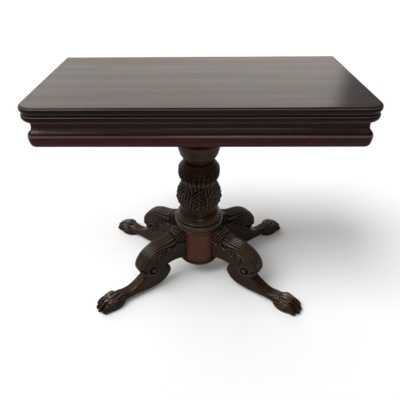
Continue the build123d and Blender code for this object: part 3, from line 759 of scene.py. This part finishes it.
def carve_leg(co, normals, sizes):
    """New places of the points of a leg, and their relief."""
    reach, across, rise = co.T
    flat = co[:, [0, 2]]
    half = np.minimum(np.abs(across), LEG_HALF_WIDTH)
    cover, leaf = knee_leaf(flat, half, sizes)
    foot = paw(reach, across, rise, sizes)
    ridge_s, ridge_d, side = along_line(flat, SHANK_RIDGE)
    hollow = RIDGE_HOLLOW_SHARE * hill(ridge_d * side + RIDGE_HOLLOW, RIDGE_WIDTH)
    ridge = hill(ridge_d, RIDGE_WIDTH) - hollow
    ridge *= ease(half, *RIDGE_SIDE) * ease(ridge_s, *RIDGE_START) * (1 - ease(ridge_s, *RIDGE_END))
    carving = cover * leaf + (1 - cover) * (foot + ridge * RIDGE_HEIGHT)
    height = carving + cover * sizes.leaf_rise / MM
    relief = LEG_RELIEF_LEVEL + carving / (LEG_RELIEF_SPAN * sizes.rib_depth / MM)
    moved = co + normals * height[:, None]
    moved[:, 2] = np.maximum(moved[:, 2], 0.0)
    joint = (np.hypot(moved[:, 0], moved[:, 1]) < HUB_RADIUS) & (reach < HUB_REACH)
    return np.where(joint[:, None], co, moved), relief


# Carved column, in millimetres from the floor.  Its girth is unrolled at GIRTH_RADIUS.

COLUMN_FOOT = 329.0
COLUMN_OUTLINE = [(0.88, 0.0), (0.95, 0.07), (0.99, 0.148), (1.0, 0.226), (1.0, 0.304), (0.992, 0.383),
                  (0.97, 0.452), (0.945, 0.53), (0.893, 0.60), (0.85, 0.661), (0.80, 0.735), (0.785, 0.81),
                  (0.785, 0.878), (0.835, 0.948), (0.90, 1.0)]
VEINED_HALF_WIDTHS = ((0.0, 0.12, 0.3, 0.52, 0.72, 0.88, 1.0), (6, 14, 22, 26, 23, 14, 0))
GIRTH_RADIUS = 72
CORE_RADIUS = 40
COLUMN_RELIEF_LEVEL = 0.62
COLUMN_RELIEF_SPAN = 1.5

# Ribbed leaves: they spread downwards and their ribs wave
RIB_GIRTH = 12.4
RIB_FIBRE = 4.13
RIB_FIBRE_HEIGHT = 0.9
RIB_SPREAD = 0.22
RIB_SPREAD_RANGE = (400, 340)
RIB_SWAY = (2.5, 15.0)
RIB_RIPPLE = 0.16
RIB_RIPPLE_LENGTH = 9.0
RIB_RIPPLE_TURNS = 2.0
RIB_ROUND = 0.8
RIB_HEIGHT = 1.05
RIB_FLOOR = 0.76
EDGE_FINGER = 19.0
EDGE_FINGER_FALL = 0.9
EDGE_FINGER_SWAY = 4
EDGE_FINGER_TURNS = 3
EDGE_FINGER_SHARE = 0.45
FINGER_LEVEL_SHARE = 0.6

# Veined leaves: lobes down each side of a midrib; a sway is (height, length)
VEINED_TOP = 430.0
VEINED_DROP = 96.0
LOBE_STEP = 14.0
LOBE_ROUND = 6.0
LOBE_RANGE = (-0.6, 1.6)
ROW_FALL = 0.2
ROW_BOW = 0.03
ROW_SHIFT = 3.5
ROW_SWAY = (2, 11)
VEINED_HEAD = (0.0, 0.06)
VEINED_EDGE = (0, 6)
VEINED_FLOOR = -0.22
VEINED_BULGE = 0.5
LOBE_DEPTH = 1.15
VEIN_HEIGHT = 2.0
VEIN_LEVEL = 0.7
VEIN_START = (2, 5)
VEINS_PER_LOBE = 3
TOOL_MARK = 0.7
TOOL_MARK_FALL = 2.9
TOOL_MARK_ASIDE = 4.1
MIDRIB = ((0.0, 2.2, 1.5), (4.6, 1.6, -2.6))
VEINED_NOSE = (0.87, 0.09, 3.0)
VEINED_NOSE_WIDTH = 9.0
EYE_INSET = 11
EYE_WIDTH = 2.6
EYE_DEPTH = 5.5

# Tips under the neck ring, scallops at the foot, scales on the ring
TIPS_LEVEL = 437.0
TIP_FINGER = 11.0
TIP_DROOP = 5.0
TIP_HEIGHT = 0.95
TIP_FLOOR = 0.66
TIP_NOSE = (4.0, 4.5, 2.0)
RING_LOW = (449.0, 452.0)
TIP_GROOVE = (RING_LOW[0], 2.4, -4.0)
RING_HIGH = (468.0, 471.0)
SCALLOP_HEIGHT = 5.5
SCALLOPS_PER_LEAF = 3
SCALLOP_EDGE = (-1.5, 2.0)
SCALE_HEIGHT = 4.2
SCALE_ROUND = 0.7
SCALE_FLOOR = 4.4
SCALE_SWAY = (0.4, 3.0)
SCALE_CROSS = 1.2
SCALE_CROSS_LENGTH = 1.6


def from_axis(theta, part, shift):
    """Signed distance round the column from the nearest middle of a leaf."""
    return (np.mod(theta / part + shift, 1.0) - 0.5) * part * GIRTH_RADIUS


def ribbed_leaves(theta, z, part, deep):
    """Leaves between the veined ones, each with an edge of short fingers."""
    aside = from_axis(theta, part, 0.0)
    flow = aside * (1 + RIB_SPREAD * ease(z, *RIB_SPREAD_RANGE))
    flow = flow + wave(z, *RIB_SWAY) * np.sign(aside)
    ripple = RIB_RIPPLE * np.sin(z / RIB_RIPPLE_LENGTH + RIB_RIPPLE_TURNS * theta)
    height = deep * (RIB_HEIGHT * cut(flow / RIB_GIRTH + ripple, RIB_ROUND) - RIB_FLOOR)
    height += RIB_FIBRE_HEIGHT * (cut(flow / RIB_FIBRE, 1.0) - FINGER_LEVEL_SHARE)
    fall = z + np.abs(aside) * EDGE_FINGER_FALL + EDGE_FINGER_SWAY * np.sin(EDGE_FINGER_TURNS * theta)
    fingers = cut(fall / EDGE_FINGER, FINGER_LEVEL_SHARE)
    return height + deep * EDGE_FINGER_SHARE * (fingers - FINGER_LEVEL_SHARE)


def veined_leaves(theta, z, part, deep):
    """Leaves that hang with their tips down, with round lobes and drilled eyes between them."""
    aside = from_axis(theta, part, 0.5)
    off = np.abs(aside)
    fall = VEINED_TOP - z
    t = fall / VEINED_DROP
    row = fall - ROW_FALL * off - ROW_BOW * off ** 2 + ROW_SHIFT * np.sign(aside) + wave(z, *ROW_SWAY)
    lobe = np.mod(row / LOBE_STEP, 1.0) - 0.5
    half_width = np.interp(t, *VEINED_HALF_WIDTHS)
    inside = half_width - LOBE_ROUND * (2 * lobe) ** 2 - off
    cover = ease(inside, *LOBE_RANGE) * ease(t, *VEINED_HEAD)
    groove = 1 - np.sqrt(np.clip(1 - 4 * lobe ** 2, 0, 1))
    leaf = deep * (VEINED_FLOOR + VEINED_BULGE * ease(inside, *VEINED_EDGE) - LOBE_DEPTH * groove)
    leaf += VEIN_HEIGHT * (cut(lobe * VEINS_PER_LOBE, VEIN_LEVEL) - VEIN_LEVEL) * ease(off, *VEIN_START)
    leaf += TOOL_MARK * np.sin(z / TOOL_MARK_FALL + aside / TOOL_MARK_ASIDE)
    leaf += rounds(off, *MIDRIB) + rounds(t, VEINED_NOSE) * hill(off, VEINED_NOSE_WIDTH)
    eye = hill(off - half_width + EYE_INSET, EYE_WIDTH)
    leaf -= EYE_DEPTH * eye * hill((np.abs(lobe) - 0.5) * LOBE_STEP, EYE_WIDTH)
    return cover, leaf


def hanging_tips(theta, z, tips, deep):
    """Leaf tips that droop from under the neck ring, two fingers to each tip."""
    finger = np.abs(np.cos(theta * tips))
    tip = np.abs(np.cos(theta * tips / 2))
    hang = TIPS_LEVEL - TIP_FINGER * np.sqrt(finger) - TIP_DROOP * tip
    height = deep * (TIP_HEIGHT * np.sqrt(finger) - TIP_FLOOR) + rounds(z - hang, TIP_NOSE) * finger
    return ease(z - hang, *LIP_RANGE), height + rounds(z, TIP_GROOVE)


def ring_scales(theta, z, tips):
    """Short scales cut into the lower half of the neck ring."""
    scale = np.abs(np.cos(theta * tips + wave(z, *SCALE_SWAY)))
    ring = ease(z, *RING_LOW) * (1 - ease(z, *RING_HIGH))
    across = SCALE_CROSS * np.cos(z / SCALE_CROSS_LENGTH)
    return ring * (SCALE_HEIGHT * scale ** SCALE_ROUND - SCALE_FLOOR + across)


def carve_column(co, sizes):
    """Radial carving of the shaft and the neck ring, and its relief."""
    x, y, z = co.T
    radius = np.hypot(x, y)
    theta = np.arctan2(y, x) + pi / 2
    part = tau / sizes.column_leaves
    deep = sizes.column_cut / MM
    height = ribbed_leaves(theta, z, part, deep)
    for cover, carving in (veined_leaves(theta, z, part, deep),
                           hanging_tips(theta, z, sizes.column_tips, deep)):
        height = height * (1 - cover) + cover * carving
    foot = np.abs(np.sin(theta * sizes.column_leaves * SCALLOPS_PER_LEAF))
    foot = COLUMN_FOOT + SCALLOP_HEIGHT * foot
    height = height * ease(z - foot, *SCALLOP_EDGE) * (1 - ease(z, *RING_LOW))
    height += ring_scales(theta, z, sizes.column_tips)
    height = np.where(radius > CORE_RADIUS, height, 0)
    grow = 1 + height / np.maximum(radius, 1)
    relief = COLUMN_RELIEF_LEVEL + height / (COLUMN_RELIEF_SPAN * deep)
    return np.stack([x * grow, y * grow, z], 1), relief


# Turned pieces

TENON_RADIUS = 24.3
TURNED_RELIEF_LEVEL = 0.65
TURNED_RELIEF_SPAN = 6.0
TURNED_RELIEF_REACH = 6.0
TURNED_RELIEF_STEP = 0.5


def turned_outline(node, radius, runs, fineness):
    """Outline of a turned piece in millimetres, closed along the tenon inside it."""
    low, high = low_of(node), high_of(node)
    points = []
    for run in runs:
        given = [(r * radius, low + z * (high - low)) for r, z in run]
        points += [tuple(p) for p in (smooth_run(given, fineness) if len(run) > 2 else given)]
    return points + [(TENON_RADIUS, high), (TENON_RADIUS, low)]


def turned_relief(outline, co):
    """Relief from how far a point stands over the outline near it; the finish turns it into painted shade
    in grooves and painted highlights on beads.
    """
    outline = np.array(outline[:-2])
    levels = np.arange(outline[0, 1], outline[-1, 1], TURNED_RELIEF_STEP)
    radii = np.interp(levels, outline[:, 1], outline[:, 0])
    near = hill(levels[:, None] - levels[None], TURNED_RELIEF_REACH)
    average = near @ radii / near.sum(1)
    over = np.hypot(co[:, 0], co[:, 1]) - np.interp(co[:, 2], levels, average)
    return TURNED_RELIEF_LEVEL + over / TURNED_RELIEF_SPAN


# Name, node, radius, points to a stretch, whether carved, and runs of (radius, height) in shares
TURNED = (
    ("cap_turning", "column_cap", 71.0, 7, False, [
        [(0.64, 0.0), (0.70, 0.055), (0.796, 0.157), (0.866, 0.241), (0.915, 0.314), (0.95, 0.42),
         (0.98, 0.52), (1.0, 0.62), (0.99, 0.68), (0.97, 0.71)],
        [(0.93, 0.725), (0.90, 0.74)],
        [(0.88, 0.76), (0.80, 0.81), (0.74, 0.865), (0.71, 0.94), (0.70, 1.0)]]),
    ("abacus_turning", "column_abacus", 86.0, 7, False, [
        [(0.58, 0.0), (0.627, 0.32), (0.768, 0.60), (0.925, 0.74)],
        [(0.94, 0.76), (0.975, 0.78), (0.998, 0.84), (0.998, 0.93), (0.98, 1.0)]]),
    ("base_turning", "column_base", 89.5, 7, False, [
        [(0.935, 0.0), (0.955, 0.015), (0.958, 0.035), (0.94, 0.058)],
        [(0.89, 0.065), (0.89, 0.105)],
        [(0.94, 0.11), (0.985, 0.14), (1.0, 0.19), (0.992, 0.26), (0.955, 0.32), (0.915, 0.338)],
        [(0.895, 0.343), (0.893, 0.357)],
        [(0.91, 0.37), (0.925, 0.405), (0.912, 0.445)],
        [(0.893, 0.452), (0.89, 0.468)],
        [(0.885, 0.48), (0.868, 0.54), (0.83, 0.62), (0.77, 0.70), (0.72, 0.77), (0.694, 0.84),
         (0.70, 0.91), (0.74, 1.0)]]),
    ("neck_ring_turning", "neck_ring", 72.1, 6, True, [
        [(0.90, 0.0), (0.955, 0.05), (0.985, 0.13), (0.998, 0.22), (0.995, 0.33), (0.985, 0.43)],
        [(0.955, 0.445), (0.952, 0.465)],
        [(0.972, 0.48), (0.98, 0.52), (0.968, 0.565), (0.945, 0.59)],
        [(0.925, 0.60), (0.922, 0.618)],
        [(0.93, 0.63), (0.90, 0.69), (0.85, 0.765), (0.79, 0.83)],
        [(0.765, 0.84), (0.76, 0.86)],
        [(0.765, 0.875), (0.745, 0.92), (0.70, 0.965), (0.65, 1.0)]]),
    ("carved_column_leaves", "carved_column", 77.0, 10, True, [COLUMN_OUTLINE]),
)

# Hub

PANEL_INNER = 76.5
PANEL_OUTER = 79.0
BESIDE_LEG = 26.0
STEPS_PER_RADIAN = 40
PANEL_ROUND = 0.5
GROOVE_SIDE_SHARE = 0.5
FIELD_RISE_SHARE = 0.9


def panels_shape(sizes, low, high):
    """Curved panels between the legs, each a raised border round a field."""
    shape = bmesh.new()
    beside_leg = np.arcsin(BESIDE_LEG / PANEL_OUTER)
    turns = sorted(turn % tau for turn in LEG_TURNS.values())
    section = [(PANEL_INNER, low), (PANEL_OUTER, low), (PANEL_OUTER, high), (PANEL_INNER, high)]
    for start, end in zip(turns, turns[1:] + [turns[0] + tau]):
        start, end = start + beside_leg, end - beside_leg
        verts = [shape.verts.new((r * cos(start) * MM, r * sin(start) * MM, z * MM)) for r, z in section]
        face = shape.faces.new(verts)
        bmesh.ops.spin(shape, geom=[face], cent=(0, 0, 0), axis=(0, 0, 1), angle=end - start,
                       steps=int(STEPS_PER_RADIAN * (end - start)), use_merge=False, use_duplicate=False)
    bmesh.ops.remove_doubles(shape, verts=shape.verts, dist=MERGE)
    bmesh.ops.recalc_face_normals(shape, faces=shape.faces)
    shape.normal_update()
    fields = [face for face in shape.faces if looks_out(face)]
    groove = sizes.panel_groove
    side = groove * GROOVE_SIDE_SHARE
    for width, rise in ((sizes.panel_border, 0.0), (side, -groove), (side, groove * FIELD_RISE_SHARE)):
        bmesh.ops.inset_region(shape, faces=fields, thickness=width, depth=rise, use_boundary=True,
                               use_even_offset=False)
    level = [edge for edge in shape.edges if is_rim(edge, low, high)]
    bmesh.ops.bevel(shape, geom=level, offset=PANEL_ROUND * MM, offset_type="OFFSET", segments=2,
                    profile=0.5, affect="EDGES", material=-1)
    return shape


def looks_out(face):
    outward = face.calc_center_median().xy.to_3d().normalized()
    return face.normal.dot(outward) > 0.99


def is_rim(edge, low, high):
    """Whether an edge is sharp and runs level along a panel's foot or head."""
    first, second = (vert.co.z for vert in edge.verts)
    near = min(abs(z - end * MM) for z in (first, second) for end in (low, high))
    level = abs(first - second)
    return edge.calc_face_angle(0) > radians(60) and max(near, level) < 10 * MERGE


# Studio: places and lengths in metres

WINDOW_PLACE = (-2.2, -1.05, 3.6)
WINDOW_STRENGTH = 2.35
WINDOW_ANGLE = radians(34)
STRIP_PLACE = (0.4, -3.2, 1.9)
STRIP_SIZE = (1.6, 0.12)
STRIP_POWER = 9.0
FLOOR_HALF = 30.0
FLOOR_SPECKLE = (3.0, 2)
FLOOR_SHADE = 0.985
CAMERA_PLACE = (0.0010, -1.0586, 1.0959)
CAMERA_TURN = 0.0228
CAMERA_TILT = -0.6617
CAMERA_ROLL = -0.0115
CAMERA_LENS = 32.288
CAMERA_SHIFT = (0.0182, 0.0314)

# The room by the direction looked in: where each part starts and is full, and how bright
WALL_LEAN = 0.398
WALL_END = (-0.02, 0.03)
WALL_AHEAD = (0.0, 0.15)
WALL_FOOT = (0.10, 0.25)
WALL_HEAD = (0.80, 0.95, 1.0, 0.0)
SHINE_ACROSS = (-0.35, 0.15, 0.84, 0.97)
SHINE_UP = (0.22, 0.38, 0.78, 1.0)
SHINE = 1.08
BEHIND_AHEAD = (0.0, 0.3, 0.0, 0.16)
BEHIND_HEAD = (0.9, 0.7)
LEFT_ACROSS = (-0.2, -0.8)
LEFT_UP = (0.0, 0.3)
LEFT = 0.25
ROOF_UP = (0.72, 0.94, 0.0, 1.8)
ROOF_FRONT = (0.10, -0.20)
DIM = 0.04
WARM_FRONT = (0.1, -0.1, 0.0, 0.45)
COOL_HUE = (0.86, 0.93, 1.0)
WARM_HUE = (1.0, 0.95, 0.89)
BACKDROP = 0.9
WHITE = (1.0, 1.0, 1.0)

# Operators: one for each piece or group of like pieces


class CARDTABLE_OT_stage(bpy.types.Operator):
    """Pale floor, soft studio light and the camera"""

    bl_idname = "cardtable.stage"
    bl_label = "Stage"

    def execute(self, context):
        scene = context.scene
        self.lay_floor(scene, scene.card_table_colours.floor)
        self.set_camera(scene)
        window = bpy.data.lights.new("window_light", "SUN")
        window.energy = WINDOW_STRENGTH
        window.angle = WINDOW_ANGLE
        self.hang_lamp(scene, window, WINDOW_PLACE)
        strip = bpy.data.lights.new("front_light", "AREA")
        strip.shape = "RECTANGLE"
        strip.size, strip.size_y = STRIP_SIZE
        strip.energy = STRIP_POWER
        self.hang_lamp(scene, strip, STRIP_PLACE)
        self.light_room(scene)
        scene.view_settings.view_transform = "Standard"
        scene.view_settings.look = "None"
        scene.view_settings.exposure = 0.0
        return {"FINISHED"}

    def lay_floor(self, scene, colour):
        shape = bmesh.new()
        bmesh.ops.create_grid(shape, x_segments=8, y_segments=8, size=FLOOR_HALF)
        floor = bpy.data.objects.new("floor", mesh_from(shape, "floor"))
        scene.collection.objects.link(floor)
        material, sheet = new_sheet("floor")
        speckle = sheet.noise(sheet.object_place(), *FLOOR_SPECKLE)
        tone = sheet.blend(speckle, opaque(colour), darker(colour, FLOOR_SHADE))
        finish_sheet(sheet, Base_Color=tone, Roughness=0.85, Specular_IOR_Level=0.2)
        floor.data.materials.append(material)

    def set_camera(self, scene):
        eye = bpy.data.cameras.new("camera")
        eye.lens = CAMERA_LENS
        eye.sensor_width = 36.0
        eye.shift_x, eye.shift_y = CAMERA_SHIFT
        eye.clip_end = 100.0
        camera = bpy.data.objects.new("camera", eye)
        camera.matrix_world = (Matrix.Translation(CAMERA_PLACE) @ Matrix.Rotation(CAMERA_TURN, 4, "Z")
                               @ Matrix.Rotation(pi / 2 + CAMERA_TILT, 4, "X")
                               @ Matrix.Rotation(CAMERA_ROLL, 4, "Z"))
        scene.collection.objects.link(camera)
        scene.camera = camera

    def hang_lamp(self, scene, lamp, place):
        light = bpy.data.objects.new(lamp.name, lamp)
        light.location = place
        light.rotation_mode = "QUATERNION"
        light.rotation_quaternion = (-Vector(place)).to_track_quat("-Z", "Y")
        scene.collection.objects.link(light)

    def light_room(self, scene):
        """A dim room with one tall bright wall behind the table that ends a little to the right."""
        world = bpy.data.worlds.new("studio")
        scene.world = world
        world.use_nodes = True
        sky = Sheet(world.node_tree)
        direction = sky.node("TexCoord", output="Generated")
        right, ahead, up = (sky.axis(direction, name) for name in "XYZ")
        wall = sky.band(ahead * WALL_LEAN - right, *WALL_END) * sky.band(ahead, *WALL_AHEAD)
        wall = wall * sky.band(up, *WALL_FOOT) * sky.band(up, *WALL_HEAD)
        shine = wall * sky.band(right, *SHINE_ACROSS) * sky.band(up, *SHINE_UP)
        behind = sky.band(ahead, *BEHIND_AHEAD) * sky.band(up, *BEHIND_HEAD)
        left = sky.band(right, *LEFT_ACROSS) * sky.band(up, *LEFT_UP)
        roof = sky.band(up, *ROOF_UP) * sky.band(ahead, *ROOF_FRONT)
        strength = shine * SHINE + behind + left * LEFT + roof + DIM
        warm = sky.maths("MAXIMUM", wall, sky.band(ahead, *WARM_FRONT))
        hue = sky.blend(warm, opaque(COOL_HUE), opaque(WARM_HUE))

        # A camera that looks past the floor sees a plain pale backdrop.
        seen = sky.node("LightPath", output="Is Camera Ray")
        strength = strength * (1.0 - seen) + seen * BACKDROP
        hue = sky.blend(seen, hue, opaque(WHITE))
        background = sky.node("Background", {}, {"Color": hue, "Strength": strength})
        sky.node("OutputWorld", {}, {"Surface": background})


# Nodes whose grain doesn't run as their slot's finish has it
OTHER_FINISH = {"left_rail": "side_mahogany", "right_rail": "side_mahogany", "hub_drum": "turned_mahogany",
                "column_bearer": "cross_pine", "pivot_rail": "cross_pine"}


class CARDTABLE_OT_finishes(bpy.types.Operator):
    """Materials, and the finish of the pieces that stay as the CAD made them"""

    bl_idname = "cardtable.finishes"
    bl_label = "Finishes"

    def execute(self, context):
        make_finishes(context.scene.card_table_colours)
        slots = {row["node"]: row["material_slot"] for row in frame["record"]["subparts"]}
        for name, node in frame["nodes"].items():
            finish = OTHER_FINISH.get(name, slots[name])
            if finish == "carved_mahogany":
                finish = "turned_mahogany"
            node.data.materials.clear()
            node.data.materials.append(FINISHES[finish])
        return {"FINISHED"}


# Angles over which an edge stays sharp, in degrees
SHARP_TURNING = 50
SHARP_CARVING = 180
SHARP_PANEL = 40


class CARDTABLE_OT_column(bpy.types.Operator):
    """Abacus, cap, neck ring, carved shaft and base of the column"""

    bl_idname = "cardtable.column"
    bl_label = "Column"

    def execute(self, context):
        sizes = context.scene.card_table_sizes
        for name, node, radius, fineness, carved, runs in TURNED:
            outline = turned_outline(node, radius, runs, fineness)
            mesh = mesh_from(spun(outline, sizes.column_steps if carved else sizes.turning_steps), name)
            co = read(mesh, "co") / MM
            moved, relief = carve_column(co, sizes) if carved else (co, turned_relief(outline, co))
            move_to(mesh, moved)
            keep_map(mesh, moved, relief)
            mesh.set_sharp_from_angle(angle=radians(SHARP_CARVING if carved else SHARP_TURNING))
            slot = "carved_mahogany" if carved else "turned_mahogany"
            # Every turned piece takes the carved column's finish, so its relief gives painted shade in
            # grooves and painted highlights on beads.
            show(name, mesh, FINISHES["carved_column"], "base", slot, node, smooth=carved)
        return {"FINISHED"}


class CARDTABLE_OT_panels(bpy.types.Operator):
    """Four bordered panels on the hub"""

    bl_idname = "cardtable.panels"
    bl_label = "Hub panels"

    def execute(self, context):
        shape = panels_shape(context.scene.card_table_sizes, low_of("drum_panels"), high_of("drum_panels"))
        mesh = mesh_from(shape, "hub_panels")
        mesh.set_sharp_from_angle(angle=radians(SHARP_PANEL))
        show("hub_panels", mesh, FINISHES["red_mahogany"], "base", "red_mahogany", "drum_panels",
             smooth=False)
        return {"FINISHED"}


GRAIN_APART = 700.0


class CARDTABLE_OT_legs(bpy.types.Operator):
    """Four legs with knee leaf, scroll and paw"""

    bl_idname = "cardtable.legs"
    bl_label = "Carved legs"

    def execute(self, context):
        sizes = context.scene.card_table_sizes
        skin = leg_blank(sizes)
        moved, relief = carve_leg(read(skin, "co") / MM, read(skin, "normal"), sizes)
        for k, (name, turn) in enumerate(LEG_TURNS.items()):
            mesh = skin.copy()
            c, s = cos(turn), sin(turn)
            move_to(mesh, moved @ np.array(((c, s, 0), (-s, c, 0), (0, 0, 1))))
            keep_map(mesh, moved + k * GRAIN_APART, relief)
            node = name + "_leg"
            show(node + "_carved", mesh, FINISHES["carved_mahogany"], "base", "carved_mahogany", node)
        return {"FINISHED"}


class CARDTABLE_PT_panel(bpy.types.Panel):
    """The table's sizes, colours and makers in the sidebar"""

    bl_idname = "CARDTABLE_PT_panel"
    bl_label = "Card Table"
    bl_space_type = "VIEW_3D"
    bl_region_type = "UI"
    bl_category = "Card Table"

    def draw(self, context):
        for group in (context.scene.card_table_sizes, context.scene.card_table_colours):
            box = self.layout.box()
            for name in group.__annotations__:
                box.prop(group, name)
        for maker in MAKERS:
            self.layout.operator(maker.bl_idname)


MAKERS = (CARDTABLE_OT_stage, CARDTABLE_OT_finishes, CARDTABLE_OT_column, CARDTABLE_OT_panels,
          CARDTABLE_OT_legs)
CLASSES = (CardTableSizes, CardTableColours, *MAKERS, CARDTABLE_PT_panel)


def register():
    for kind in CLASSES:
        bpy.utils.register_class(kind)
    bpy.types.Scene.card_table_sizes = bpy.props.PointerProperty(type=CardTableSizes)
    bpy.types.Scene.card_table_colours = bpy.props.PointerProperty(type=CardTableColours)


def unregister():
    del bpy.types.Scene.card_table_colours
    del bpy.types.Scene.card_table_sizes
    for kind in reversed(CLASSES):
        bpy.utils.unregister_class(kind)


def main():
    register()
    for maker in MAKERS:
        group, name = maker.bl_idname.split(".")
        getattr(getattr(bpy.ops, group), name)()


if __name__ == "__main__":
    main()
